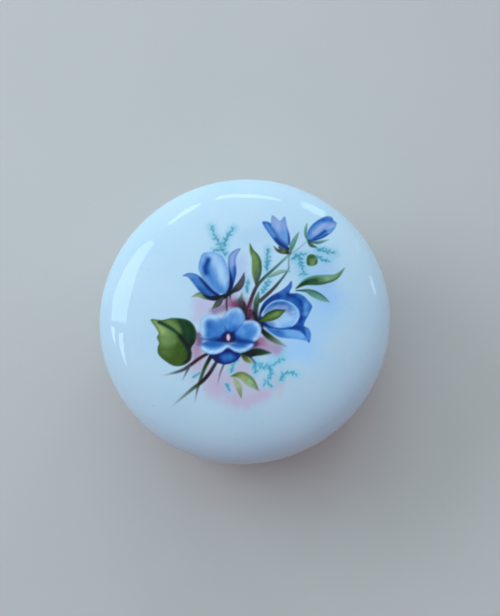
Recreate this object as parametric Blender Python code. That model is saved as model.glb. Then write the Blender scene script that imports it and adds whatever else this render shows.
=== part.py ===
"""A round glazed porcelain trinket box: a footed base with a raised inner lip, and a domed lid that lifts off."""

import math

import bmesh
import bpy

# Lid sizes in millimetres
LID_RADIUS = 38.0  # at the lid's widest level
CROWN_HEIGHT = 10.5  # from the widest level up to the top
CROWN_FULLNESS = 2.5  # superellipse exponent of the crown, where 2 is an ellipse
SKIRT_DROP = 3.0  # from the widest level down to the rim
SKIRT_TUCK = 1.8  # how far the skirt draws in on its way down
SKIRT_TURN = 60.0  # degrees that the skirt turns through, from upright
CROWN_WALL = 2.6  # thickness of the lid at its middle
RIM_WALL = 2.4  # thickness of the lid at its rim
HOLLOW_FULLNESS = 3.2
RIM_EDGE = 0.7  # rounding of the rim's two edges

# Base sizes in millimetres
BASE_HEIGHT = 22.0  # from the table up to the ledge that carries the lid
WALL_FULLNESS = 2.3  # superellipse exponent of the outside, from ledge to foot
LEDGE_EDGE = 0.7  # rounding of the ledge's outer edge
LIP_THICKNESS = 1.6
LIP_HEIGHT = 3.0  # from the ledge up to the top of the inner lip
LIP_EDGE = 0.6
FLOOR_THICKNESS = 3.0
INSIDE_HEEL = 13.0  # width of the curve between the floor and the inner wall
INSIDE_FULLNESS = 2.6
FOOT_RADIUS = 28.5
FOOT_WIDTH = 2.8
FOOT_HEIGHT = 1.7  # from the table up to the hollow curve outside
FOOT_RECESS = 2.2  # from the table up to the underside inside the foot ring
FOOT_EDGE = 0.7
FOOT_FLARE = 0.9  # radius of the hollow curve between wall and foot

# Fits in millimetres
SEAT_GAP = 0.3  # between the ledge and the lid's rim
LIP_CLEARANCE = 0.4  # between the lip and the inside of the lid
LID_OVERHANG = 0.4  # how far the rim stands out past the ledge

# Smoothness
SEGMENTS = 64
CROWN_STEPS = 14
HOLLOW_STEPS = 10
WALL_STEPS = 9
SKIRT_STEPS = 4
EDGE_STEPS = 2

MM = 0.001
MERGE_DISTANCE = 0.000001
GLAZE_COLOUR = (0.80, 0.86, 0.92, 1.0)
GLAZE_ROUGHNESS = 0.08

RIM_OUTER = LID_RADIUS - SKIRT_TUCK
RIM_INNER = RIM_OUTER - RIM_WALL
LEDGE_RADIUS = RIM_OUTER - LID_OVERHANG
LIP_OUTER = RIM_INNER - LIP_CLEARANCE
LIP_INNER = LIP_OUTER - LIP_THICKNESS


def superellipse(radius, height, fullness, steps):
    """Points (r, z) of a quarter superellipse, from its top at r = 0 out to r = radius at z = 0."""
    points = []
    for step in range(steps + 1):
        angle = math.pi / 2 * step / steps
        across = max(0.0, math.sin(angle)) ** (2 / fullness)
        up = max(0.0, math.cos(angle)) ** (2 / fullness)
        points.append((radius * across, height * up))
    return points


def arc(centre_r, centre_z, radius, start, end):
    """Points of an arc, with its angles in degrees from the +r direction towards +z."""
    points = []
    for step in range(EDGE_STEPS + 1):
        angle = math.radians(start + (end - start) * step / EDGE_STEPS)
        points.append((centre_r + radius * math.cos(angle), centre_z + radius * math.sin(angle)))
    return points


def skirt():
    """The lid's outside below its widest level, drawn in towards the rim."""
    points = []
    for step in range(1, SKIRT_STEPS + 1):
        angle = math.radians(SKIRT_TURN * step / SKIRT_STEPS)
        drawn_in = SKIRT_TUCK * (1 - math.cos(angle)) / (1 - math.cos(math.radians(SKIRT_TURN)))
        dropped = (SKIRT_DROP - RIM_EDGE) * math.sin(angle) / math.sin(math.radians(SKIRT_TURN))
        points.append((LID_RADIUS - drawn_in, SKIRT_DROP - dropped))
    return points


def lid_profile():
    """Half section of the lid, with z = 0 at the underside of its rim, from the outside round to the inside."""
    crown = superellipse(LID_RADIUS, CROWN_HEIGHT, CROWN_FULLNESS, CROWN_STEPS)
    crown = [(r, SKIRT_DROP + z) for r, z in crown]
    rim = arc(RIM_OUTER - RIM_EDGE, RIM_EDGE, RIM_EDGE, 0, -90)[1:]
    rim += arc(RIM_INNER + RIM_EDGE, RIM_EDGE, RIM_EDGE, -90, -180)[:-1]
    hollow_height = SKIRT_DROP + CROWN_HEIGHT - CROWN_WALL - RIM_EDGE
    hollow = superellipse(RIM_INNER, hollow_height, HOLLOW_FULLNESS, HOLLOW_STEPS)
    hollow = [(r, RIM_EDGE + z) for r, z in reversed(hollow)]
    return crown + skirt() + rim + hollow


def base_profile():
    """Half section of the base, with z = 0 at the foot, from the inside round to the underside."""
    floor_top = FOOT_RECESS + FLOOR_THICKNESS
    floor_edge = LIP_INNER - INSIDE_HEEL
    heel = superellipse(INSIDE_HEEL, BASE_HEIGHT - floor_top, INSIDE_FULLNESS, HOLLOW_STEPS)
    inside = [(0.0, floor_top)] + [(floor_edge + r, BASE_HEIGHT - z) for r, z in heel]
    lip_top = BASE_HEIGHT + LIP_HEIGHT
    lip = arc(LIP_INNER + LIP_EDGE, lip_top - LIP_EDGE, LIP_EDGE, 180, 90)
    lip += arc(LIP_OUTER - LIP_EDGE, lip_top - LIP_EDGE, LIP_EDGE, 90, 0)
    ledge = [(LIP_OUTER, BASE_HEIGHT)]
    ledge += arc(LEDGE_RADIUS - LEDGE_EDGE, BASE_HEIGHT - LEDGE_EDGE, LEDGE_EDGE, 90, 0)[:-1]

    flare_radius = FOOT_RADIUS + FOOT_FLARE
    flare_top = FOOT_HEIGHT + FOOT_FLARE
    wall_top = BASE_HEIGHT - LEDGE_EDGE
    wall = superellipse(LEDGE_RADIUS - flare_radius, wall_top - flare_top, WALL_FULLNESS, WALL_STEPS)
    wall = [(flare_radius + r, wall_top - z) for r, z in reversed(wall)]
    flare = arc(flare_radius, FOOT_HEIGHT, FOOT_FLARE, 90, 180)[1:]
    foot_inner = FOOT_RADIUS - FOOT_WIDTH
    foot = arc(FOOT_RADIUS - FOOT_EDGE, FOOT_EDGE, FOOT_EDGE, 0, -90)
    foot += arc(foot_inner + FOOT_EDGE, FOOT_EDGE, FOOT_EDGE, -90, -180)
    underside = [(foot_inner, FOOT_RECESS), (0.0, FOOT_RECESS)]
    return inside + lip + ledge + wall + flare + foot + underside


def glaze(name):
    """White glaze over porcelain."""
    material = bpy.data.materials.new(name)
    material.use_nodes = True
    shader = material.node_tree.nodes["Principled BSDF"]
    shader.inputs["Base Color"].default_value = GLAZE_COLOUR
    shader.inputs["Roughness"].default_value = GLAZE_ROUGHNESS
    shader.inputs["Metallic"].default_value = 0.0
    return material


def turned(name, profile, height, material):
    """One closed piece, turned from a half section about the Z axis and set down at a height."""
    section = bmesh.new()
    corners = [section.verts.new((r * MM, 0.0, z * MM)) for r, z in profile]
    lines = [section.edges.new(pair) for pair in zip(corners, corners[1:])]
    bmesh.ops.spin(
        section,
        geom=corners + lines,
        axis=(0, 0, 1),
        cent=(0, 0, 0),
        angle=2 * math.pi,
        steps=SEGMENTS,
        use_merge=True,
    )
    bmesh.ops.remove_doubles(section, verts=section.verts, dist=MERGE_DISTANCE)
    bmesh.ops.recalc_face_normals(section, faces=section.faces)
    mesh = bpy.data.meshes.new(name)
    section.to_mesh(mesh)
    section.free()
    mesh.shade_smooth()
    mesh.materials.append(material)
    piece = bpy.data.objects.new(name, mesh)
    piece.location.z = height * MM
    bpy.context.scene.collection.objects.link(piece)
    return piece


def main():
    for old in list(bpy.data.objects):
        bpy.data.objects.remove(old)
    turned("base", base_profile(), 0.0, glaze("base_glaze"))
    turned("lid", lid_profile(), BASE_HEIGHT + SEAT_GAP, glaze("lid_glaze"))


main()
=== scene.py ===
"""The porcelain trinket box of the photograph: a turned base and a domed lid with a printed spray."""

import math

import bpy
import numpy as np
from mathutils import Matrix, Vector


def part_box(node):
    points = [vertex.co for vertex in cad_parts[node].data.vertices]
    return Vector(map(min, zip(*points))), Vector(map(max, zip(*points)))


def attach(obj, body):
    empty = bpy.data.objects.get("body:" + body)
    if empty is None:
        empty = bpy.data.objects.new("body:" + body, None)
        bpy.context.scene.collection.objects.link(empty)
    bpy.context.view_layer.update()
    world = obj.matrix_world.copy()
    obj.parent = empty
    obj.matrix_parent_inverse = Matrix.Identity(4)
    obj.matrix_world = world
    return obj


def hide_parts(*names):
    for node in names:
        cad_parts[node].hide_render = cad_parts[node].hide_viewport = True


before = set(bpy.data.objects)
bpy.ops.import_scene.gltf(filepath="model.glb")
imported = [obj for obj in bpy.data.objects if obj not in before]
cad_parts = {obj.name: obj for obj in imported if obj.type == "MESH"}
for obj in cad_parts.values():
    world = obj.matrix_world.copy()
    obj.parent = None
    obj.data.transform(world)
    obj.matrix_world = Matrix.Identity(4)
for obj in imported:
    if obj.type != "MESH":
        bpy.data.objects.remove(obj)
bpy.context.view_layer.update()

MM = 0.001
HAIR = 0.01  # millimetres, too short to show
lid_low, lid_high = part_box("lid")
base_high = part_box("base")[1]

# Lid sizes in millimetres, the first three from the frame
LID_RADIUS = lid_high.x / MM
LID_TOP = lid_high.z / MM
LID_RIM = lid_low.z / MM
CROWN_HEIGHT = 10.5
CROWN_FULLNESS = 2.5  # superellipse exponent, where 2 is an ellipse
SKIRT_TUCK = 1.8
SKIRT_TURN = 60.0
CROWN_WALL = 2.6
RIM_WALL = 2.4
HOLLOW_FULLNESS = 3.2
RIM_EDGE = 0.7
WIDEST_LEVEL = LID_TOP - CROWN_HEIGHT
RIM_OUTER = LID_RADIUS - SKIRT_TUCK
RIM_INNER = RIM_OUTER - RIM_WALL

# Base sizes in millimetres, the first one from the frame
LIP_TOP = base_high.z / MM
LIP_HEIGHT = 3.0
WALL_FULLNESS = 2.3
LEDGE_EDGE = 0.7
LIP_THICKNESS = 1.6
LIP_EDGE = 0.6
FLOOR_THICKNESS = 3.0
INSIDE_HEEL = 13.0
INSIDE_FULLNESS = 2.6
FOOT_RADIUS = 28.5
FOOT_WIDTH = 2.8
FOOT_HEIGHT = 1.7
FOOT_RECESS = 2.2
FOOT_EDGE = 0.7
FOOT_FLARE = 0.9
LIP_CLEARANCE = 0.4
LID_OVERHANG = 0.4
INNER_EDGE = 0.5  # round the recess in the foot
LIP_FILLET = 0.3
LEDGE_LEVEL = LIP_TOP - LIP_HEIGHT
LEDGE_RADIUS = RIM_OUTER - LID_OVERHANG
LIP_OUTER = RIM_INNER - LIP_CLEARANCE
LIP_INNER = LIP_OUTER - LIP_THICKNESS

# Where the glaze is wiped off: how high up an edge as a share of its radius, and how deep in millimetres
WIPED_SHARE = 0.25
LEDGE_WIPED = 0.1
LIP_WIPED = 0.2

# Fineness of the meshes
GRID_CELLS = 280  # across the painted middle of the lid, and also the segments of its rings
GRID_RADIUS = 35.6
MIDDLE_STEPS = 200  # along the lid's outline from its top to the edge of the grid, for its map
BASE_SEGMENTS = 192
CROWN_STEPS = 9  # from the grid to the widest level
SKIRT_STEPS = 8
HOLLOW_STEPS = 18
WALL_STEPS = 28  # outside and inside the base
UNDERSIDE_RINGS = 8
FLOOR_RINGS = 6
FLARE_STEPS = 6
FILLET_STEPS = 4
EDGE_STEPS = 5
SHARP_EDGE = 50.0  # degrees between faces

# Camera, in millimetres, with the photograph's size in pixels
CAMERA_PLACE = (24.93, -72.40, 325.69)
CAMERA_AIM = (1.65, 2.73, 25.3)
CAMERA_LENS = 69.32
CAMERA_SENSOR = 36.0
CAMERA_NEAR = 0.01  # metres
PHOTO_WIDTH = 500
PHOTO_HEIGHT = 616

# Colours of the china and of the light, as shares of red, green and blue
CHINA = (0.74, 0.82, 0.90)
THICK_GLAZE = (0.703, 0.7995, 0.8955)
SPECK = (0.30, 0.30, 0.32)
BARE_CHINA = (0.80, 0.80, 0.78)
DAYLIGHT = (0.57, 0.79, 0.93)
FLOOR_COLOUR = (0.74, 0.61, 0.55)
FLOOR_CLOUDS = (0.7178, 0.5917, 0.5335)
LIT_CHINA = (176, 212, 238)  # out of 255, as it is seen on the lid's bright side
SHADED_CHINA = (154, 175, 202)
SHADE_SIDE = (0.375, -0.927)  # from the bright side to the shaded one
SHADE_SPAN = (-15.0, 38.0)  # millimetres along that way, over which it sets in
GLARE = (0.015, 0.023, 0.026)  # light that the glaze mirrors on the painted part
DARKEST = 0.0005  # light that the darkest ink gives back

# Roughness of the glaze from place to place, what the print adds to it, and of bare china and the floor
GLAZE_ROUGHNESS = (0.012, 0.03)
INK_ROUGHNESS = 0.05
BARE_ROUGHNESS = 0.7
FLOOR_ROUGHNESS = 0.75

# Gloss of the glaze: its index of refraction, and the level of its reflections, where 0.5 is natural
REFRACTION = 1.5
MIRRORING = 0.3

# Noise patterns: blotches to the metre and layers of finer ones, then between which levels they show
THICKNESS_NOISE = (90, 3)
SPECK_NOISE = (1400, 1)
ROUGHNESS_NOISE = (400, 2)
WAVE_NOISE = (55, 1)
CLOUD_NOISE = (14, 4)
GRAIN_NOISE = (900, 2)
CLOUD_LEVELS = (0.35, 0.65)
SPECK_LEVELS = (0.76, 0.80)
ROUGHNESS_LEVELS = (0.3, 0.7)
SPECK_COVER = 0.35

# Bumps: strength, and depth in metres
GLAZE_WAVES = (0.12, 0.0004)
FLOOR_GRAIN = (0.1, 0.0002)

# Colour maps: centre and radius of the disc that holds the outside, and of the one that holds the inside
OUTER_MAP = ((0.435, 0.435), 0.43)
INNER_MAP = ((0.865, 0.865), 0.125)

# Light panels: name, pixels of the photograph at which the lid mirrors their corners, and brightness
PANEL_DISTANCE = 600.0  # millimetres from the lid
PANELS = (
    ("left_window", ((151, 240), (154.5, 243.5), (146, 255), (138, 271), (133, 288), (126, 323.5),
                     (111.5, 320.5), (114, 294), (122, 275), (130, 261), (139, 248.5)), 6.5),
    ("lower_pane", ((111, 326.5), (115, 327), (116, 346.5), (112.5, 337)), 9.5),
    ("lower_slit", ((118.5, 333), (123, 333), (124, 348.5), (127, 368), (120, 348.5)), 9.5),
    ("far_left_slit", ((168, 223.5), (183, 211), (199.5, 202.5),
                       (200.5, 205.5), (185, 214.5), (169, 226)), 8.0),
    ("far_slit", ((216, 197), (231, 194), (248, 194), (264, 195.5), (281, 199.5),
                  (281, 201.5), (264, 198.5), (248, 197.5), (232, 197.5), (216, 200)), 7.7),
    ("far_right_window", ((301.5, 201.5), (312, 204.5), (326, 212.5),
                          (324, 217.5), (315, 214), (301.5, 207)), 7.0),
    ("right_slit", ((353.5, 241), (357.5, 240.5), (359.5, 254), (357, 256)), 2.6),
    ("near_right_slit", ((369, 276), (371.5, 276), (375, 287),
                         (376.5, 294.5), (375, 296), (370.5, 285)), 6.0),
)

# Room light: its bright side as azimuth and elevation in degrees, and its colours away from it and there
SKY_SIDE = (-8.6, 44.2)
SKY_START = -0.50  # cosine of the angle to the bright side at which it starts to get lighter
SKY_DARK = (0.15, 0.025, 0.06)
SKY_BRIGHT = (0.55, 0.82, 0.94)
BACKDROP = (0.36, 0.40, 0.43)  # plain wall that shows past the floor's edge

FLOOR_SIDE = 3000.0


# Outlines of the two pieces

def superellipse(radius, height, fullness, steps, start=0.0):
    """Points (r, z) of a quarter superellipse, from a start angle off its top out to r = radius at z = 0."""
    points = []
    for angle in np.linspace(start, math.pi / 2, steps + 1):
        across = max(0.0, math.sin(angle)) ** (2 / fullness)
        up = max(0.0, math.cos(angle)) ** (2 / fullness)
        points.append((radius * across, height * up))
    return points


def arc(centre_r, centre_z, radius, start, end, steps=EDGE_STEPS):
    """Points of an arc, with its angles in degrees from the +r direction towards +z."""
    angles = np.radians(np.linspace(start, end, steps + 1))
    return [(centre_r + radius * math.cos(a), centre_z + radius * math.sin(a)) for a in angles]


def raised(points, height):
    return [(r, z + height) for r, z in points]


def crown_level(r):
    """Height of the lid's outside over the table, at a distance from its axis."""
    return WIDEST_LEVEL + CROWN_HEIGHT * (1 - (r / LID_RADIUS) ** CROWN_FULLNESS) ** (1 / CROWN_FULLNESS)


def lid_outside():
    """From the edge of the painted grid over the widest level and the skirt to the middle of the rim."""
    start = math.asin((GRID_RADIUS / LID_RADIUS) ** (CROWN_FULLNESS / 2))
    crown = raised(superellipse(LID_RADIUS, CROWN_HEIGHT, CROWN_FULLNESS, CROWN_STEPS, start), WIDEST_LEVEL)
    drop = WIDEST_LEVEL - LID_RIM - RIM_EDGE
    skirt = []
    for angle in np.radians(np.linspace(0, SKIRT_TURN, SKIRT_STEPS + 1)[1:]):
        drawn_in = SKIRT_TUCK * (1 - math.cos(angle)) / (1 - math.cos(math.radians(SKIRT_TURN)))
        dropped = drop * math.sin(angle) / math.sin(math.radians(SKIRT_TURN))
        skirt.append((LID_RADIUS - drawn_in, WIDEST_LEVEL - dropped))
    rim = arc(RIM_OUTER - RIM_EDGE, LID_RIM + RIM_EDGE, RIM_EDGE, 0, -90)[1:]
    return crown + skirt + rim + [(RIM_OUTER - RIM_WALL / 2, LID_RIM)]


def lid_inside():
    """From the top of the hollow down to the middle of the rim."""
    height = LID_TOP - CROWN_WALL - LID_RIM - RIM_EDGE
    hollow = raised(superellipse(RIM_INNER, height, HOLLOW_FULLNESS, HOLLOW_STEPS), LID_RIM + RIM_EDGE)
    rim = arc(RIM_INNER + RIM_EDGE, LID_RIM + RIM_EDGE, RIM_EDGE, 180, 270)[1:]
    return hollow + rim + [(RIM_OUTER - RIM_WALL / 2, LID_RIM)]


def base_outside():
    """From the middle of the underside round the foot ring and up the wall to the middle of the ledge."""
    foot_inner = FOOT_RADIUS - FOOT_WIDTH
    underside = [(foot_inner * k / UNDERSIDE_RINGS, FOOT_RECESS) for k in range(UNDERSIDE_RINGS)]
    underside += arc(foot_inner - INNER_EDGE, FOOT_RECESS - INNER_EDGE, INNER_EDGE, 90, 0, FILLET_STEPS)
    foot = arc(foot_inner + FOOT_EDGE, FOOT_EDGE, FOOT_EDGE, 180, 270)
    foot += arc(FOOT_RADIUS - FOOT_EDGE, FOOT_EDGE, FOOT_EDGE, 270, 360)
    flare_radius = FOOT_RADIUS + FOOT_FLARE
    flare_top = FOOT_HEIGHT + FOOT_FLARE
    flare = arc(flare_radius, FOOT_HEIGHT, FOOT_FLARE, 180, 90, FLARE_STEPS)
    wall_top = LEDGE_LEVEL - LEDGE_EDGE
    wall = superellipse(LEDGE_RADIUS - flare_radius, wall_top - flare_top, WALL_FULLNESS, WALL_STEPS)
    wall = [(flare_radius + r, wall_top - z) for r, z in wall][1:]
    edge = arc(LEDGE_RADIUS - LEDGE_EDGE, wall_top, LEDGE_EDGE, 0, 90)[1:]
    return underside + foot + flare + wall + edge + [((LEDGE_RADIUS + LIP_OUTER) / 2, LEDGE_LEVEL)]


def base_inside():
    """From the middle of the floor inside up the wall and over the lip to the middle of the ledge."""
    floor_top = FOOT_RECESS + FLOOR_THICKNESS
    floor_edge = LIP_INNER - INSIDE_HEEL
    floor = [(floor_edge * k / FLOOR_RINGS, floor_top) for k in range(FLOOR_RINGS)]
    heel = superellipse(INSIDE_HEEL, LEDGE_LEVEL - floor_top, INSIDE_FULLNESS, WALL_STEPS)
    heel = [(floor_edge + r, LEDGE_LEVEL - z) for r, z in heel]
    lip = arc(LIP_INNER + LIP_EDGE, LIP_TOP - LIP_EDGE, LIP_EDGE, 180, 90)
    lip += arc(LIP_OUTER - LIP_EDGE, LIP_TOP - LIP_EDGE, LIP_EDGE, 90, 0)
    foot_of_lip = arc(LIP_OUTER + LIP_FILLET, LEDGE_LEVEL + LIP_FILLET, LIP_FILLET, 180, 270, FILLET_STEPS)
    return floor + heel + lip + foot_of_lip + [((LEDGE_RADIUS + LIP_OUTER) / 2, LEDGE_LEVEL)]


# Meshes

def placed(name, points, faces, material):
    """A new object in the scene, from points in millimetres."""
    mesh = bpy.data.meshes.new(name)
    mesh.from_pydata((np.array(points) * MM).tolist(), [], faces)
    mesh.materials.append(material)
    shape = bpy.data.objects.new(name, mesh)
    bpy.context.scene.collection.objects.link(shape)
    return shape


class Shell:
    """The points and faces of a round piece, with each point's place on a flat disc for the colour map."""

    def __init__(self):
        self.points = []
        self.flat = []
        self.faces = []
        self.outer = []

    def ring(self, r, z, share, count):
        """A ring of points, or one point on the axis. share, from 0 to 1, is its radius on the flat disc."""
        first = len(self.points)
        for angle in np.arange(count if r > 0 else 1) * 2 * math.pi / count:
            self.points.append((r * math.cos(angle), r * math.sin(angle), z))
            self.flat.append((share * math.cos(angle), share * math.sin(angle)))
        return list(range(first, len(self.points)))

    def skin(self, one, other, upward, outer):
        """Faces from a ring, or one point, to the next ring out, with as many points or half as many."""
        faces = []
        for k in range(len(other)):
            after = (k + 1) % len(other)
            if len(one) == 1:
                faces.append((one[0], other[k], other[after]))
            elif len(one) == len(other):
                faces.append((one[k], other[k], other[after], one[after]))
            else:
                left, middle, right = one[2 * k], one[2 * k + 1], one[2 * after]
                faces.append((left, other[k], middle))
                faces.append((middle, other[k], other[after]))
                faces.append((middle, other[after], right))
        self.faces += faces if upward else [face[::-1] for face in faces]
        self.outer += [outer] * len(faces)

    def turn(self, outline, counts, upward, outer, first=None, last=None, start=0.0):
        """Rings along an outline, skinned outwards. The first or the last ring can be there already."""
        steps = np.hypot(*np.diff(outline, axis=0).T)
        shares = start + (1 - start) * np.concatenate(([0.0], np.cumsum(steps))) / steps.sum()
        ready = {0: first, len(outline) - 1: last}
        rings = [ready.get(k) or self.ring(r, z, share, count)
                 for k, ((r, z), share, count) in enumerate(zip(outline, shares, counts))]
        for one, other in zip(rings, rings[1:]):
            self.skin(one, other, upward, outer)
        return rings[-1]

    def grid(self, x, y, z, flat):
        """A square grid of points, row by row and facing up. Returns its edge, anticlockwise from +X."""
        side = round(len(x) ** 0.5)
        self.points += list(zip(x.tolist(), y.tolist(), z.tolist()))
        self.flat += flat.tolist()
        index = np.arange(side * side).reshape(side, side)
        corners = [index[:-1, :-1], index[:-1, 1:], index[1:, 1:], index[1:, :-1]]
        faces = np.stack([corner.ravel() for corner in corners], -1)
        self.faces += [tuple(face) for face in faces.tolist()]
        self.outer += [True] * len(faces)
        edge = np.unique(np.concatenate((index[0], index[-1], index[:, 0], index[:, -1])))
        turn = np.arctan2(y[edge], x[edge]) % (2 * math.pi)
        return edge[np.argsort(np.round(turn, 6))].tolist()

    def piece(self, name, material):
        """The shell as an object, its outside on the large disc of the map and its inside on the other."""
        shape = placed(name, self.points, self.faces, material)
        mesh = shape.data
        flat = np.array(self.flat)
        loops = np.empty(len(mesh.loops), int)
        mesh.loops.foreach_get("vertex_index", loops)
        sizes = np.array([len(face) for face in self.faces])
        outer = np.repeat(np.array(self.outer), sizes)[:, None]
        centre = np.where(outer, OUTER_MAP[0], INNER_MAP[0])
        places = centre + flat[loops] * np.where(outer, OUTER_MAP[1], INNER_MAP[1])
        mesh.uv_layers.new(name="OFBake").data.foreach_set("uv", places.ravel())
        mesh.shade_smooth()
        mesh.set_sharp_from_angle(angle=math.radians(SHARP_EDGE))
        mesh.validate()
        return shape


def disc_grid(cells, radius):
    """A square grid of points drawn out into a disc, so that all its cells stay about the same size."""
    steps = np.linspace(-1, 1, cells + 1)
    a, b = (side.ravel() for side in np.meshgrid(steps, steps))
    sideways = np.abs(a) > np.abs(b)
    reach = np.where(sideways, a, b)
    share = np.where(sideways, b, a) / np.where(reach == 0, 1, reach)
    turn = np.where(sideways, math.pi / 4 * share, math.pi / 2 - math.pi / 4 * share)
    return radius * reach * np.cos(turn), radius * reach * np.sin(turn)


def set_values(shape, name, kind, values):
    """A named value for each point of a mesh, which its material reads."""
    field = "value" if kind == "FLOAT" else "color"
    attribute = shape.data.attributes.new(name, kind, "POINT")
    attribute.data.foreach_set(field, np.asarray(values, np.float32).ravel())


def lid_piece():
    """The lid: a fine grid over its painted middle, then rings round the shoulder, skirt, rim and hollow."""
    shell = Shell()
    x, y = disc_grid(GRID_CELLS, GRID_RADIUS)
    outside = lid_outside()
    middle = [(r, crown_level(r)) for r in np.linspace(0, GRID_RADIUS, MIDDLE_STEPS)]
    lengths = np.concatenate(([0.0], np.cumsum(np.hypot(*np.diff(middle + outside[1:], axis=0).T))))
    shares = lengths / lengths[-1]
    radii = np.hypot(x, y)
    share = np.interp(radii, [r for r, z in middle], shares[:MIDDLE_STEPS])
    flat = np.stack((x, y), -1) * (share / np.maximum(radii, HAIR))[:, None]
    edge = shell.grid(x, y, crown_level(radii), flat)
    counts = [len(edge), len(edge) // 2] + [GRID_CELLS] * (len(outside) - 2)
    rim = shell.turn(outside, counts, True, True, first=edge, start=shares[MIDDLE_STEPS - 1])
    inside = lid_inside()
    shell.turn(inside, [GRID_CELLS] * len(inside), False, False, last=rim)
    shape = shell.piece("porcelain_lid", glaze("painted_glaze", painted=True))
    points = np.array(shell.points)
    set_values(shape, "ink", "FLOAT_COLOR", ink_at(points))
    set_values(shape, "bare", "FLOAT", points[:, 2] < LID_RIM + WIPED_SHARE * RIM_EDGE)
    return shape


def base_piece():
    """The base, with its glaze wiped off under the foot ring, on the ledge and on top of the lip."""
    shell = Shell()
    outside, inside = base_outside(), base_inside()
    ledge = shell.turn(outside, [BASE_SEGMENTS] * len(outside), False, True)
    shell.turn(inside, [BASE_SEGMENTS] * len(inside), True, False, last=ledge)
    shape = shell.piece("porcelain_base", glaze("white_glaze", painted=False))
    points = np.array(shell.points)
    radii, level = np.hypot(points[:, 0], points[:, 1]), points[:, 2]
    under_foot = level < WIPED_SHARE * FOOT_EDGE
    on_ledge = (radii > LIP_OUTER) & (level > LEDGE_LEVEL - LEDGE_WIPED)
    on_lip = level > LIP_TOP - LIP_WIPED
    set_values(shape, "bare", "FLOAT", under_foot | on_ledge | on_lip)
    return shape


# Painting tools. Colours are as they are seen on the lid, and sizes are in millimetres there

MOTTLE_SIDE = 64  # random levels each way before they repeat
MOTTLE_SHIFT = 1000  # keeps every place above zero
UNEVENNESS = 0.03  # of a colour, out of 1
STROKE_GRAIN = 0.5
PATCH_GRAIN = 0.6
FINEST_STROKE = 0.1
SIDE_SHADE = (0.1, 1.0)  # from the middle of a stroke to its side, where its left or right colour sets in
RAY_START = 8.0  # distance from their root at which rays are at full strength
RAY_LENGTH = 4.0
RAY_SEED = 5  # above the seed of the petal's own unevenness
WASH_REACH = 2.2  # shares of a wash's radius
WASH_BLOTCHES = ((0.6, 0.22), (0.25, 0.1))  # size as a share of the radius, and strength
WASH_FALL = 2.6  # how suddenly a wash ends
SIGHT_PASSES = 12  # steps by which the place on the lid is found for a pixel


def seen(red, green, blue):
    """A colour out of 255."""
    return red / 255, green / 255, blue / 255


def linear(colour):
    """The light that a seen colour stands for."""
    colour = np.clip(colour, 0, 1)
    return np.where(colour < 0.04045, colour / 12.92, ((colour + 0.055) / 1.055) ** 2.4)


def camera_axes():
    """Directions to the right and upwards in the picture, and straight ahead."""
    ahead = (Vector(CAMERA_AIM) - Vector(CAMERA_PLACE)).normalized()
    right = ahead.cross(Vector((0, 1, 0))).normalized()
    return right, right.cross(ahead), ahead


def sight_lines(pixels):
    """Unit directions from the camera to pixels of the photograph."""
    right, upright, ahead = (np.array(axis) for axis in camera_axes())
    across, down = np.array(pixels, float).T
    reach = CAMERA_LENS / CAMERA_SENSOR * PHOTO_HEIGHT
    sight = np.outer(across - PHOTO_WIDTH / 2, right) + np.outer(PHOTO_HEIGHT / 2 - down, upright)
    sight += reach * ahead
    return sight / np.linalg.norm(sight, axis=1)[:, None]


def on_lid(pixels):
    """Places (x, y) on the lid, in millimetres, that are seen at pixels of the photograph."""
    sight = sight_lines(pixels)
    level = LID_TOP
    for _ in range(SIGHT_PASSES):
        share = (level - CAMERA_PLACE[2]) / sight[:, 2]
        places = CAMERA_PLACE + sight * share[:, None]
        level = crown_level(np.hypot(places[:, 0], places[:, 1]))
    return places[:, :2]


def mirrored(pixels):
    """Places in the room that the lid mirrors at pixels of the photograph."""
    places = on_lid(pixels)
    radii = np.hypot(*places.T)
    slope = (crown_level(radii + HAIR) - crown_level(radii - HAIR)) / (2 * HAIR)
    upright = np.column_stack((-places * (slope / radii)[:, None], np.ones(len(places))))
    upright /= np.linalg.norm(upright, axis=1)[:, None]
    sight = sight_lines(pixels)
    away = sight - 2 * np.sum(sight * upright, axis=1)[:, None] * upright
    return np.column_stack((places, crown_level(radii))) + PANEL_DISTANCE * away


def smooth_line(points, closed=False, steps=10):
    """A smooth line through the points, as a Catmull-Rom spline."""
    points = np.array(points, float)
    count = len(points)
    line = []
    for span in range(count if closed else count - 1):
        places = [span - 1, span, span + 1, span + 2]
        places = [k % count if closed else min(max(k, 0), count - 1) for k in places]
        before, start, end, after = points[places]
        for t in np.arange(steps) / steps:
            bend = 2 * before - 5 * start + 4 * end - after
            turn = 3 * start - before - 3 * end + after
            line.append(0.5 * (2 * start + (end - before) * t + bend * t ** 2 + turn * t ** 3))
    line.append(points[0] if closed else points[-1])
    return np.array(line)


def nearest_on(line, x, y):
    """Distance, share of the length and side of the nearest place on a line, for each point."""
    steps = np.hypot(*np.diff(line, axis=0).T)
    along = np.concatenate(([0], np.cumsum(steps)))
    distance = np.full(x.shape, np.inf)
    share = np.zeros(x.shape)
    side = np.zeros(x.shape)
    for (ax, ay), (bx, by), start, step in zip(line, line[1:], along, steps):
        if step == 0:
            continue
        ux, uy = (bx - ax) / step, (by - ay) / step
        ahead = np.clip((x - ax) * ux + (y - ay) * uy, 0, step)
        off_x, off_y = x - ax - ahead * ux, y - ay - ahead * uy
        away = np.hypot(off_x, off_y)
        closer = away < distance
        distance[closer] = away[closer]
        share[closer] = ((start + ahead) / along[-1])[closer]
        side[closer] = np.sign(ux * off_y - uy * off_x)[closer]
    return distance, share, side


def inside(line, x, y):
    """True for the points that a closed line goes round."""
    crossings = np.zeros(x.shape, int)
    for (ax, ay), (bx, by) in zip(line, line[1:]):
        if ay != by:
            crossings += ((ay > y) != (by > y)) & (x < (bx - ax) * (y - ay) / (by - ay) + ax)
    return crossings % 2 == 1


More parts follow.
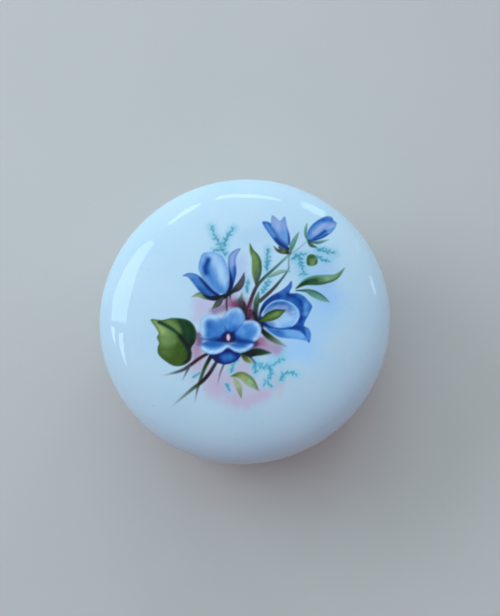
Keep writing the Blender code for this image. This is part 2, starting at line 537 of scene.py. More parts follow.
def eased(value, low, high):
    """0 below low, 1 above high and a smooth step between them."""
    t = np.clip((value - low) / (high - low), 0, 1)
    return t * t * (3 - 2 * t)


def mottle(x, y, size, seed):
    """Soft random blotches of about the given size, from -1 to 1."""
    table = np.random.default_rng(seed).uniform(-1, 1, (MOTTLE_SIDE, MOTTLE_SIDE))
    u, v = x / size + MOTTLE_SHIFT, y / size + MOTTLE_SHIFT
    i, j = np.floor(u).astype(int), np.floor(v).astype(int)
    u, v = eased(u - i, 0, 1), eased(v - j, 0, 1)
    i, j = i % MOTTLE_SIDE, j % MOTTLE_SIDE
    right, up = (i + 1) % MOTTLE_SIDE, (j + 1) % MOTTLE_SIDE
    low = table[i, j] * (1 - u) + table[right, j] * u
    high = table[i, up] * (1 - u) + table[right, up] * u
    return low * (1 - v) + high * v


def mixed(one, other, amount):
    return one + (np.array(other, float) - one) * amount[:, None]


class Canvas:
    """Colour and cover of the paint at points on the lid."""

    def __init__(self, x, y):
        self.x, self.y = x, y
        self.colour = np.zeros((len(x), 3))
        self.cover = np.zeros(len(x))
        self.strokes = 0  # how many there are so far, which seeds the unevenness of the next one

    def near(self, line, margin):
        """The points beside a line, and their places."""
        low, high = np.min(line, axis=0) - margin, np.max(line, axis=0) + margin
        beside = (self.x > low[0]) & (self.x < high[0])
        where = np.nonzero(beside & (self.y > low[1]) & (self.y < high[1]))[0]
        return where, self.x[where], self.y[where]

    def lay(self, where, colour, cover):
        """Paint over what is there. Colours are kept multiplied by their cover."""
        self.colour[where] = colour * cover[:, None] + self.colour[where] * (1 - cover)[:, None]
        self.cover[where] = cover + self.cover[where] * (1 - cover)
        self.strokes += 1

    def stroke(self, line, widths, colours, left=None, right=None, cover=(1, 1), edge=0.4):
        """A brush stroke along a line on the lid, with widths, colours and cover that change along it."""
        where, x, y = self.near(line, max(widths) / 2 + edge)
        distance, share, side = nearest_on(line, x, y)
        stops, widths = smooth_line([(k / (len(widths) - 1), width) for k, width in enumerate(widths)]).T
        half = np.maximum(np.interp(share, stops, widths), FINEST_STROKE) / 2
        across = distance / half * side
        stops = np.linspace(0, 1, len(colours))
        paint = np.stack([np.interp(share, stops, [colour[k] for colour in colours]) for k in range(3)], -1)
        paint += UNEVENNESS * mottle(x, y, STROKE_GRAIN, self.strokes)[:, None]
        if left is not None:
            paint = mixed(paint, left, eased(across, *SIDE_SHADE))
        if right is not None:
            paint = mixed(paint, right, eased(-across, *SIDE_SHADE))
        strength = np.interp(share, np.linspace(0, 1, len(cover)), cover)
        self.lay(where, paint, strength * eased(half - distance, -edge / 2, edge / 2))

    def ribbon(self, path, *form, **options):
        """A leaf, narrow petal or stem: a stroke along a smooth line through pixels of the photograph."""
        self.stroke(smooth_line(on_lid(path)), *form, **options)

    def patch(self, outline, colour, shades=(), rim=None, rays=None, edge=0.4):
        """A broad petal or leaf, shaded by soft strokes (colour, path, radius, strength), a rim and rays."""
        line = smooth_line(on_lid(outline), closed=True)
        where, x, y = self.near(line, edge)
        distance = nearest_on(line, x, y)[0]
        depth = np.where(inside(line, x, y), distance, -distance)
        paint = np.array(colour) + UNEVENNESS * mottle(x, y, PATCH_GRAIN, self.strokes)[:, None]
        for shade, path, radius, strength in shades:
            away = nearest_on(smooth_line(on_lid(path)), x, y)[0]
            paint = mixed(paint, shade, strength * np.exp(-(away / radius) ** 2))
        if rays is not None:
            root, count, strength = rays
            root_x, root_y = on_lid([root])[0]
            turn = np.arctan2(y - root_y, x - root_x) * count / math.pi
            away = np.hypot(x - root_x, y - root_y)
            streaks = mottle(turn, away / RAY_LENGTH, 1.0, self.strokes + RAY_SEED)
            paint += (strength * eased(away, 0, RAY_START) * streaks)[:, None]
        if rim is not None:
            shade, width, strength = rim
            paint = mixed(paint, shade, strength * np.exp(-(np.maximum(depth, 0) / width) ** 2))
        self.lay(where, paint, eased(depth, -edge / 2, edge / 2))

    def wash(self, path, radius, colour, cover):
        """A soft stain round a path, uneven at its edge."""
        line = on_lid(path)
        where, x, y = self.near(line, radius * WASH_REACH)
        away = nearest_on(line, x, y)[0] / radius
        uneven = sum(strength * mottle(x, y, radius * size, self.strokes + k)
                     for k, (size, strength) in enumerate(WASH_BLOTCHES))
        self.lay(where, np.array(colour), cover * np.exp(-(away * (1 + uneven)) ** WASH_FALL))


# The spray. Its places are pixels of the photograph, and its widths, radii and rims are in millimetres

NAVY = seen(6, 12, 68)
NIGHT_BLUE = seen(10, 32, 94)
DARK_BLUE = seen(12, 56, 130)
DEEP_BLUE = seen(28, 74, 150)
BLUE = seen(40, 96, 174)
MID_BLUE = seen(58, 114, 190)
CLEAR_BLUE = seen(72, 130, 202)
SKY_BLUE = seen(90, 144, 212)
SOFT_BLUE = seen(112, 163, 222)
LIGHT_BLUE = seen(150, 188, 228)
WHITE_BLUE = seen(162, 203, 241)
LILAC = seen(142, 168, 220)
DUSK_BLUE = seen(116, 138, 196)
VIOLET_BLUE = seen(76, 106, 184)
BLUE_STAIN = seen(138, 182, 232)
PALE_STAIN = seen(160, 184, 232)
AQUA = seen(60, 136, 170)
AQUA_STAIN = seen(116, 184, 214)

INK = seen(14, 16, 44)
SOOT = seen(28, 30, 30)
FOREST = seen(28, 58, 42)
PINE = seen(48, 86, 62)
MOSS = seen(60, 86, 42)
FERN = seen(84, 112, 68)
LEAF = seen(104, 138, 88)
SPRING = seen(144, 172, 112)
STRAW = seen(130, 138, 90)
SAGE = seen(142, 154, 134)
MINT = seen(124, 162, 130)
GREY_GREEN = seen(84, 108, 92)
SEA_GREEN = seen(74, 122, 110)
TEAL = seen(92, 146, 140)
DARK_TEAL = seen(42, 84, 84)

SLATE = seen(60, 68, 78)
STONE = seen(86, 88, 94)
MIST = seen(124, 146, 164)
BARK = seen(48, 36, 44)
PLUM = seen(78, 36, 58)
WINE = seen(134, 60, 102)
THISTLE = seen(112, 84, 124)
HEATHER = seen(152, 122, 160)
MAUVE = seen(176, 180, 216)
ROSY_STAIN = seen(168, 152, 186)
BLUSH = seen(206, 178, 208)


def washes(c):
    """Soft stains of blue and pink behind the figures, each with its path, radius, colour and cover."""
    stains = (
        ([(314, 268), (324, 298), (306, 340)], 5.6, BLUE_STAIN, 0.55),
        ([(324, 286), (328, 306)], 3.0, BLUE_STAIN, 0.55),
        ([(304, 350), (278, 353)], 2.6, BLUE_STAIN, 0.6),
        ([(248, 236), (266, 234), (300, 236)], 2.8, BLUE_STAIN, 0.2),
        ([(238, 262), (242, 286)], 2.2, PALE_STAIN, 0.6),
        ([(202, 304), (216, 306)], 2.6, MAUVE, 0.75),
        ([(197, 318), (203, 309)], 1.7, MAUVE, 0.7),
        ([(228, 302), (240, 304)], 2.0, HEATHER, 0.8),
        ([(214, 311), (224, 308)], 1.1, THISTLE, 0.6),
        ([(233, 304), (239, 306)], 1.0, WINE, 0.85),
        ([(197, 346), (197, 358)], 1.5, HEATHER, 0.85),
        ([(198, 335), (200, 343)], 0.9, THISTLE, 0.9),
        ([(256, 343), (262, 342)], 1.3, WINE, 0.85),
        ([(264, 345), (276, 349)], 1.9, HEATHER, 0.75),
        ([(200, 366), (222, 382), (246, 366)], 3.4, ROSY_STAIN, 0.62),
        ([(213, 388), (236, 396), (262, 391), (276, 382)], 2.8, ROSY_STAIN, 0.5),
        ([(236, 401), (246, 403)], 1.5, ROSY_STAIN, 0.5),
        ([(254, 399), (264, 394)], 1.4, ROSY_STAIN, 0.6),
    )
    for path, radius, colour, cover in stains:
        c.wash(path, radius, colour, cover)


SPRIG_SEED = 41  # of the first sprig
SPRIG_STAIN = (1.3, 0.5)  # radius as a share of the leaflets' reach, and cover
LEAFLET_START = 0.8  # where the first one grows, in steps from one to the next
LEAFLET_TURN = (0.3, 1.4)  # radians from the stem
LEAFLET_LENGTH = (0.4, 1.3)  # shares of the reach
SPRIG_STEM = ((0.5, 0.28), (0.7, 0.5))  # widths and cover from one end to the other
LEAFLET = ((0.2, 0.46, 0.28), (0.5, 0.8, 0.4))


def sprig(c, path, leaflets, reach, seed):
    """A feathery sprig: a stain round a thin stem that has small leaflets on both sides."""
    dice = np.random.default_rng(seed)
    line = smooth_line(on_lid(path))
    c.wash(path, reach * SPRIG_STAIN[0], AQUA_STAIN, SPRIG_STAIN[1])
    c.stroke(line, SPRIG_STEM[0], (AQUA, AQUA), cover=SPRIG_STEM[1])
    for k in range(leaflets):
        place = int((k + LEAFLET_START) / leaflets * (len(line) - 2))
        ahead_x, ahead_y = line[place + 1] - line[place]
        side = 1 if k % 2 else -1
        turn = math.atan2(ahead_y, ahead_x) + side * dice.uniform(*LEAFLET_TURN)
        length = reach * dice.uniform(*LEAFLET_LENGTH)
        tip = line[place] + (length * math.cos(turn), length * math.sin(turn))
        c.stroke(np.array([line[place], tip]), LEAFLET[0], (AQUA, AQUA), cover=LEAFLET[1])


def sprigs(c):
    """The sprigs, each with its path, number of leaflets and their reach."""
    places = (
        ([(225, 255), (221, 246), (215, 236), (211, 226)], 13, 1.0),
        ([(224, 246), (227, 237), (234, 228)], 10, 0.9),
        ([(223, 250), (213, 250)], 4, 0.7),
        ([(267, 270), (267, 260), (268, 249)], 13, 0.9),
        ([(262, 293), (266, 286), (269, 280)], 10, 0.9),
        ([(247, 292), (248, 280)], 7, 0.7),
        ([(296, 254), (301, 262), (304, 276)], 14, 1.1),
        ([(292, 259), (299, 255), (306, 254)], 6, 0.8),
        ([(317, 249), (324, 251), (335, 253)], 10, 1.0),
        ([(317, 256), (323, 260), (329, 261)], 7, 0.8),
        ([(254, 361), (261, 367), (271, 366), (283, 358)], 17, 1.1),
        ([(255, 364), (256, 373)], 7, 0.9),
        ([(269, 366), (271, 376), (264, 384)], 10, 0.9),
        ([(268, 383), (272, 387)], 4, 0.6),
        ([(280, 380), (286, 373), (297, 374)], 11, 0.9),
        ([(226, 384), (230, 391)], 7, 0.6),
        ([(231, 372), (236, 358)], 7, 0.8),
        ([(193, 377), (200, 373)], 4, 0.5),
    )
    for k, (path, leaflets, reach) in enumerate(places):
        sprig(c, path, leaflets, reach, SPRIG_SEED + k)


def stems(c):
    """The stems, each with its path, widths, colours and cover from one end to the other."""
    forked_stem = (
        ([(289, 255), (276, 267), (260, 282), (254, 292), (248, 309)], (0.7, 0.7, 0.9, 1.0),
         (TEAL, DARK_TEAL, SLATE, PLUM), (0.65, 0.85, 1, 1)),
        ([(289, 255), (288.6, 263), (287.5, 271), (274, 288), (260, 301)], (0.4, 0.4, 0.8, 1.0),
         (MIST, DARK_TEAL, SLATE, SLATE), (0.6, 0.85, 1, 1)),
        ([(307, 241), (298, 249), (289, 255)], (0.25, 0.35), (MIST, MIST), (0.6, 0.7)),
    )
    tangle = (
        ([(226.8, 296), (226.6, 303), (227, 311)], (0.45, 0.5), (INK, STONE), (1, 1)),
        ([(230, 296), (231, 304)], (0.35, 0.3), (INK, MIST), (0.9, 0.4)),
        ([(242, 293), (241, 302), (244, 312)], (0.4, 1.5, 1.2), (GREY_GREEN, SLATE, SOOT), (0.4, 1, 1)),
        ([(234, 304), (238, 308), (241, 313)], (0.4, 0.9, 0.8), (WINE, PLUM), (0.6, 0.9, 1)),
        ([(244, 302), (246, 310), (249, 320)], (0.5, 1.1, 1.3), (PLUM, BARK), (0.7, 1, 1)),
        ([(253, 299), (250, 309), (248, 317)], (0.3, 0.7, 0.8), (THISTLE, THISTLE), (0.5, 0.9, 0.9)),
        ([(258.6, 292), (257, 300), (255.6, 309), (254.6, 318)], (0.3, 1.5, 1.3, 1.2),
         (DARK_TEAL, PINE, SLATE, SOOT), (0.6, 1, 1)),
        ([(250.6, 311), (252, 320)], (0.9, 1.3, 1.2), (PLUM, THISTLE), (0.9, 1)),
        ([(254, 313), (257.6, 322), (263, 332)], (0.7, 1.4, 1.1), (INK, INK), (1, 1)),
    )
    fading = (1, 1, 0.95, 0.75, 0.1)
    cut_ends = (
        ([(209, 353), (200, 358), (189, 366), (180, 371), (162, 376)], (0.8, 0.85, 0.75, 0.3),
         (BARK, BARK, SLATE, MIST), fading),
        ([(190, 365), (186, 373), (182, 381)], (0.7, 0.5, 0.25), (SLATE, MIST), fading),
        ([(211, 356), (205.6, 366), (202, 375), (197, 391), (195, 404)], (1.0, 0.85, 0.6, 0.25),
         (SOOT, PINE, SLATE, HEATHER), fading),
        ([(217, 361), (209.6, 373), (202, 381.5), (191, 390), (170, 408)], (0.85, 0.95, 0.75, 0.25),
         (SLATE, SOOT, GREY_GREEN, MIST), fading),
        ([(224, 364), (220, 374), (217, 387)], (0.55, 0.4, 0.2), (STONE, HEATHER), fading),
    )
    for path, widths, colours, cover in forked_stem:
        c.ribbon(path, widths, colours, cover=cover)
    shadow = [(240, 306), (248, 312), (257, 319)]
    c.wash(shadow, 1.6, SLATE, 0.8)
    for path, widths, colours, cover in tangle + cut_ends:
        c.ribbon(path, widths, colours, cover=cover)


def leaves(c):
    """The narrow leaves and the seed bud."""
    upright = [(249.8, 243.5), (251.8, 251), (255.6, 258), (256.8, 267), (256, 285)]
    c.ribbon(upright, (0.15, 1.5, 2.5, 2.3, 0.5), (MOSS, LEAF, LEAF, GREY_GREEN, SLATE), left=PINE,
             right=LEAF)
    between_stems = [(290, 271.4), (281, 271.6), (273, 275), (265, 278)]
    c.ribbon(between_stems, (0.2, 1.0, 0.9, 0.15), (TEAL, MINT, TEAL), left=SEA_GREEN, cover=(0.7, 0.9))
    upper_right = [(296, 288.4), (304, 283), (312, 280.6), (324, 279.4), (336, 276.5), (344.5, 268)]
    c.ribbon(upper_right, (0.3, 1.7, 2.7, 2.3, 1.2, 0.15), (FOREST, FOREST, PINE, MINT, LEAF, TEAL),
             left=TEAL, right=PINE)
    lower_right = [(296, 290.6), (306, 290.8), (313, 293.4), (320, 297), (329.3, 302)]
    c.ribbon(lower_right, (0.25, 0.8, 1.8, 1.6, 0.15), (DARK_TEAL, SEA_GREEN, TEAL, TEAL), left=DARK_TEAL)
    between_flowers = [(260, 328), (267, 335), (275, 340.6), (286.5, 346.5)]
    c.ribbon(between_flowers, (0.9, 1.5, 1.2, 0.15), (INK, FOREST, GREY_GREEN, TEAL), cover=(1, 1, 0.9, 0.6))
    under_flower = [(242, 353.6), (250, 353.4), (258, 352), (271, 353)]
    c.ribbon(under_flower, (0.8, 1.9, 1.7, 0.2), (SOOT, SOOT, FOREST, PINE), left=FOREST)
    small_leaf = [(242, 355), (247, 360), (252.4, 363)]
    c.ribbon(small_leaf, (0.8, 1.2, 0.2), (MOSS, STRAW))
    beside_small_leaf = [(247, 354), (252, 359), (255, 363)]
    c.ribbon(beside_small_leaf, (0.6, 0.5, 0.3), (SOOT, STONE))
    pale_right = [(231, 376.4), (240, 375.4), (248, 380), (258.8, 390.6)]
    c.ribbon(pale_right, (0.3, 2.1, 2.3, 0.15), (PINE, STRAW, MINT, GREY_GREEN), left=FERN, right=SAGE)
    pale_left = [(233, 377), (238.4, 386), (241.6, 398)]
    c.ribbon(pale_left, (0.25, 1.7, 0.15), (SAGE, SAGE, GREY_GREEN), left=SAGE)
    seed_bud = [(306.6, 260), (308, 255.5), (312, 254), (316.6, 257), (317.4, 263), (313, 266), (307.4, 265)]
    c.patch(seed_bud, LEAF, shades=[
        (PINE, [(308, 264), (307.6, 258), (314, 256)], 0.7, 0.9),
        (PINE, [(317, 261), (316, 265)], 0.5, 0.8),
    ])


def round_leaf(c):
    """The large lobed leaf at the left, which shows its dark underside at the right."""
    leaf = [(151, 319.4), (162, 320), (172, 318), (185, 319), (192.4, 323.4), (196.4, 332), (195.6, 341),
            (191.6, 348), (192, 354.5), (190, 361), (183, 365.4), (174.6, 366), (166, 361.6),
            (158.6, 354.6), (157.6, 348), (159, 343), (157, 337.4), (158.6, 333), (155, 326.6)]
    c.patch(leaf, MOSS, shades=[
        (LEAF, [(161, 328), (168, 334), (166, 341)], 2.2, 1.0),
        (SPRING, [(155, 321.6), (162, 331)], 1.3, 0.9),
        (LEAF, [(163, 340.6), (174, 341.4)], 0.8, 0.8),
        (LEAF, [(168, 321.4), (178, 330)], 1.2, 0.9),
        (FERN, [(163, 352), (168, 356)], 1.2, 0.8),
        (FOREST, [(189, 323), (192, 332), (190, 340)], 1.75, 1.0),
        (FOREST, [(180, 320), (183.6, 328), (185, 337)], 0.7, 1.0),
        (MOSS, [(168, 361), (180, 362)], 1.1, 0.8),
        (SOOT, [(193.6, 342), (190.6, 349), (190, 358), (186, 364)], 0.8, 1.0),
        (FOREST, [(159, 322), (167, 326), (176, 332), (184, 341), (188, 349)], 0.45, 1.0),
        (SOOT, [(180, 336), (189, 348)], 0.5, 0.95),
    ], rim=(PINE, 0.4, 0.6), rays=((189, 350), 12, 0.035))


def bellflower(c):
    """The bell at the left, seen from its side, with its sepals."""
    right_petal = [(240.6, 248.8), (234, 250.4), (228.4, 257), (229, 270), (230, 293), (233.6, 285),
                   (236.4, 273), (235.8, 258)]
    c.patch(right_petal, SKY_BLUE, shades=[
        (LILAC, [(238, 251), (232.4, 258), (232.4, 266)], 0.9, 0.9),
        (DEEP_BLUE, [(236, 268), (234.6, 277), (232, 286)], 0.75, 0.95),
    ], rim=(VIOLET_BLUE, 0.4, 0.5))
    left_petal = [(182.8, 276), (187.2, 273.2), (192.8, 273.2), (199, 275.6), (206, 282), (213.6, 290),
                  (220, 295), (211.7, 298.4), (204, 295.8), (198.3, 290.2), (192.4, 282.4), (187.4, 276.8)]
    c.patch(left_petal, MID_BLUE, shades=[
        (DUSK_BLUE, [(184.6, 275.4), (190, 274.4)], 0.8, 0.8),
        (SKY_BLUE, [(192, 275), (198, 278.6), (204, 286)], 0.7, 0.6),
        (NIGHT_BLUE, [(201.4, 278), (208, 286.6), (218, 295)], 0.62, 0.95),
        (DEEP_BLUE, [(199, 289.6), (207, 296)], 0.7, 0.9),
    ], rim=(BLUE, 0.3, 0.5))
    front_petal = [(202, 254.4), (208, 252.2), (216, 252.8), (222.6, 257), (228, 268), (230.4, 280),
                   (228.8, 290), (224, 293.8), (217, 292.2), (210, 286.2), (202, 276.8), (198.4, 267)]
    c.patch(front_petal, SOFT_BLUE, shades=[
        (WHITE_BLUE, [(214, 258), (220.6, 270), (223, 281)], 1.6, 0.95),
        (CLEAR_BLUE, [(207.6, 267), (213.6, 281), (220, 290)], 1.2, 0.95),
        (SOFT_BLUE, [(203.4, 258), (200.6, 268), (203, 275)], 0.62, 0.8),
        (DEEP_BLUE, [(208.6, 259.6), (205.4, 267), (206, 272.6)], 0.75, 1.0),
        (CLEAR_BLUE, [(217, 292), (227, 291), (229, 282)], 0.6, 0.7),
    ], rim=(SKY_BLUE, 0.34, 0.6), rays=((221, 302), 40, 0.04))
    cleft = [(227.6, 262), (230.4, 274), (231, 286), (227.4, 294.4)]
    c.ribbon(cleft, (0.2, 0.5, 0.95, 0.9), (VIOLET_BLUE, NIGHT_BLUE, NAVY), cover=(0.5, 1, 1))
    left_sepal = [(192, 297), (199, 294.8), (206, 297), (213.5, 299)]
    c.ribbon(left_sepal, (0.15, 1.2, 1.3, 0.7), (SAGE, LEAF, FOREST), left=PINE, cover=(0.8, 1))
    middle_sepal = [(203, 294.8), (211, 298.2), (222, 297.2), (232, 292.4)]
    c.ribbon(middle_sepal, (0.3, 1.2, 1.3, 0.8), (NIGHT_BLUE, INK, INK))
    right_sepal = [(244.2, 272.6), (242, 281), (238, 287.4), (230, 293)]
    c.ribbon(right_sepal, (0.15, 1.4, 1.8, 0.6), (STONE, STONE, SLATE, INK), left=SLATE, right=SLATE)
    lower_sepal = [(222.4, 298.4), (218, 303.4), (212.6, 308.6)]
    c.ribbon(lower_sepal, (0.8, 1.6, 0.2), (SLATE, FERN), left=SLATE, right=SLATE)


def buds(c):
    """The two half-open buds at the top."""
    back_petal = [(262.3, 222.4), (270.4, 223), (275, 232), (281, 240), (288.8, 247), (285.6, 249.6),
                  (278, 245), (270, 235)]
    c.patch(back_petal, BLUE, shades=[
        (SKY_BLUE, [(266, 225), (274, 236)], 0.6, 0.9),
        (DARK_BLUE, [(276, 241), (287, 248.4)], 0.9, 0.95),
    ], rim=(BLUE, 0.24, 0.7))
    front_petals = [(272.2, 215.4), (276, 217.6), (280.2, 220.8), (284.8, 216.4), (287, 226), (290, 236),
                    (290, 245), (285, 244.4), (277, 237), (272, 228), (271, 221)]
    c.patch(front_petals, SOFT_BLUE, shades=[
        (LILAC, [(275, 219), (281, 229)], 1.2, 0.9),
        (SKY_BLUE, [(281, 233), (286, 241)], 1.0, 0.8),
        (DARK_BLUE, [(288.8, 230), (289.6, 244)], 0.4, 0.9),
        (DARK_BLUE, [(272, 228), (279, 239), (288, 246)], 0.35, 0.95),
    ], rim=(DUSK_BLUE, 0.25, 0.8), rays=((289, 256), 60, 0.05))
    lower_sepal = [(274, 246.4), (278.4, 250.6), (289.6, 253)]
    c.ribbon(lower_sepal, (0.2, 1.1, 0.8), (GREY_GREEN, SLATE, SOOT))
    upper_sepal = [(279, 247), (284, 251), (289.8, 248.4)]
    c.ribbon(upper_sepal, (0.4, 1.2, 0.5), (SLATE, FERN, INK))
    sepal = [(298.8, 232), (295, 239), (292, 246), (289.4, 254)]
    c.ribbon(sepal, (0.15, 1.1, 1.2, 0.4), (MIST, TEAL, GREY_GREEN), left=SEA_GREEN)
    right_bud = [(307.4, 240), (307, 234), (311, 226), (319, 219.4), (327, 216.2), (332, 217.4),
                 (333.6, 220.6), (336.6, 223.4), (332, 232), (322, 238.6), (312, 241.6)]
    c.patch(right_bud, SKY_BLUE, shades=[
        (BLUE, [(308.6, 233), (313, 225.4), (321, 219.6)], 0.75, 0.75),
        (LILAC, [(315, 233), (323, 227), (335, 225)], 1.1, 0.9),
        (BLUE, [(324, 220), (331, 219.4)], 0.75, 0.9),
        (DEEP_BLUE, [(314, 239), (320, 235), (325, 231)], 0.45, 0.95),
        (DARK_BLUE, [(309, 241), (318, 240), (327, 235)], 0.45, 0.95),
    ], rim=(MID_BLUE, 0.28, 0.8), rays=((303, 243), 60, 0.05))
    left_sepal = [(307.4, 222.8), (305.8, 229), (306, 236), (308.4, 241)]
    c.ribbon(left_sepal, (0.15, 0.8, 0.7, 0.4), (TEAL, SEA_GREEN), cover=(0.7, 0.9, 1))
    under_bud = [(308.4, 241), (311, 245), (316.6, 247.4)]
    c.ribbon(under_bud, (0.6, 1.0, 0.3), (DARK_TEAL, GREY_GREEN))
    right_sepal = [(309, 241.6), (318, 242.6), (329, 239.6)]
    c.ribbon(right_sepal, (0.4, 0.9, 0.2), (DARK_TEAL, TEAL), cover=(0.9, 0.9, 0.5))


def open_flower(c):
    """The open bell at the right, seen from its side: its petals, its mouth and a leaf across it."""
    petals = [(259.4, 321.4), (259.6, 312), (263.4, 303), (271.6, 295.8), (280, 291.2), (287, 286),
              (291.4, 281), (292, 286.4), (289.8, 292.8), (297, 293.2), (303.6, 296), (308, 300.6),
              (312, 305.8), (310, 312), (304, 324.6), (308.6, 328.6), (310.8, 335), (309, 343), (304, 336),
              (296, 331), (278, 330), (264, 327)]
    c.patch(petals, BLUE, shades=[
        (DARK_BLUE, [(261, 312), (266, 302), (277, 296)], 1.1, 0.95),
        (VIOLET_BLUE, [(282, 292), (291, 284)], 0.7, 0.9),
        (DARK_BLUE, [(288, 294.6), (299, 299), (303, 310), (300, 322)], 0.62, 1.0),
        (MID_BLUE, [(299, 296), (306, 301)], 0.7, 0.8),
        (SKY_BLUE, [(306, 304), (305.6, 313)], 0.9, 0.9),
        (DARK_BLUE, [(291, 327), (301, 328.4), (306, 334)], 0.7, 0.9),
        (CLEAR_BLUE, [(307, 330), (308.6, 338)], 0.55, 0.8),
        (INK, [(260, 310), (260, 322), (267, 328)], 1.0, 1.0),
    ], rim=(BLUE, 0.3, 0.5), rays=((262, 322), 36, 0.04))
    lower_petal = [(264, 326), (275, 329.6), (290, 329.6), (299, 331), (304, 335), (307, 340.6),
                   (296, 339), (280, 337.6), (271, 333)]
    c.patch(lower_petal, CLEAR_BLUE, shades=[
        (SOFT_BLUE, [(287, 332), (302, 335.6)], 1.1, 0.95),
        (BLUE, [(270, 331), (282, 335)], 0.8, 0.7),
        (DEEP_BLUE, [(266, 327), (278, 330)], 0.5, 0.8),
    ], rim=(SKY_BLUE, 0.3, 0.5), rays=((262, 326), 40, 0.05))
    mouth = [(261, 317), (264.6, 308.6), (271.6, 302), (280.6, 299.6), (290, 302), (297, 307.6),
             (299.6, 315), (296.6, 322.6), (290, 327.6), (280, 329), (269, 326)]
    c.patch(mouth, LIGHT_BLUE, shades=[
        (BLUE, [(264, 310), (272, 304.6), (282, 303), (290, 306.6)], 1.1, 1.0),
        (DUSK_BLUE, [(270, 311), (284, 308)], 1.0, 0.75),
        (DUSK_BLUE, [(286, 308), (291, 314)], 0.9, 0.8),
        (LIGHT_BLUE, [(281, 317), (286, 322)], 1.6, 0.9),
        (SOFT_BLUE, [(294, 308), (296.6, 315), (293, 322), (283, 326)], 0.9, 0.85),
        (VIOLET_BLUE, [(266, 322), (272, 325)], 0.9, 0.7),
        (LIGHT_BLUE, mouth[:8], 0.42, 0.95),
        (DEEP_BLUE, mouth[8:] + mouth[:1], 0.3, 0.9),
    ], rays=((262, 320), 50, 0.04))
    leaf_across = [(260.6, 320.6), (268, 317.4), (276, 314), (285.6, 310)]
    c.ribbon(leaf_across, (0.6, 2.3, 2.3, 0.15), (MOSS, FERN, LEAF, PINE), left=FOREST, right=MOSS)


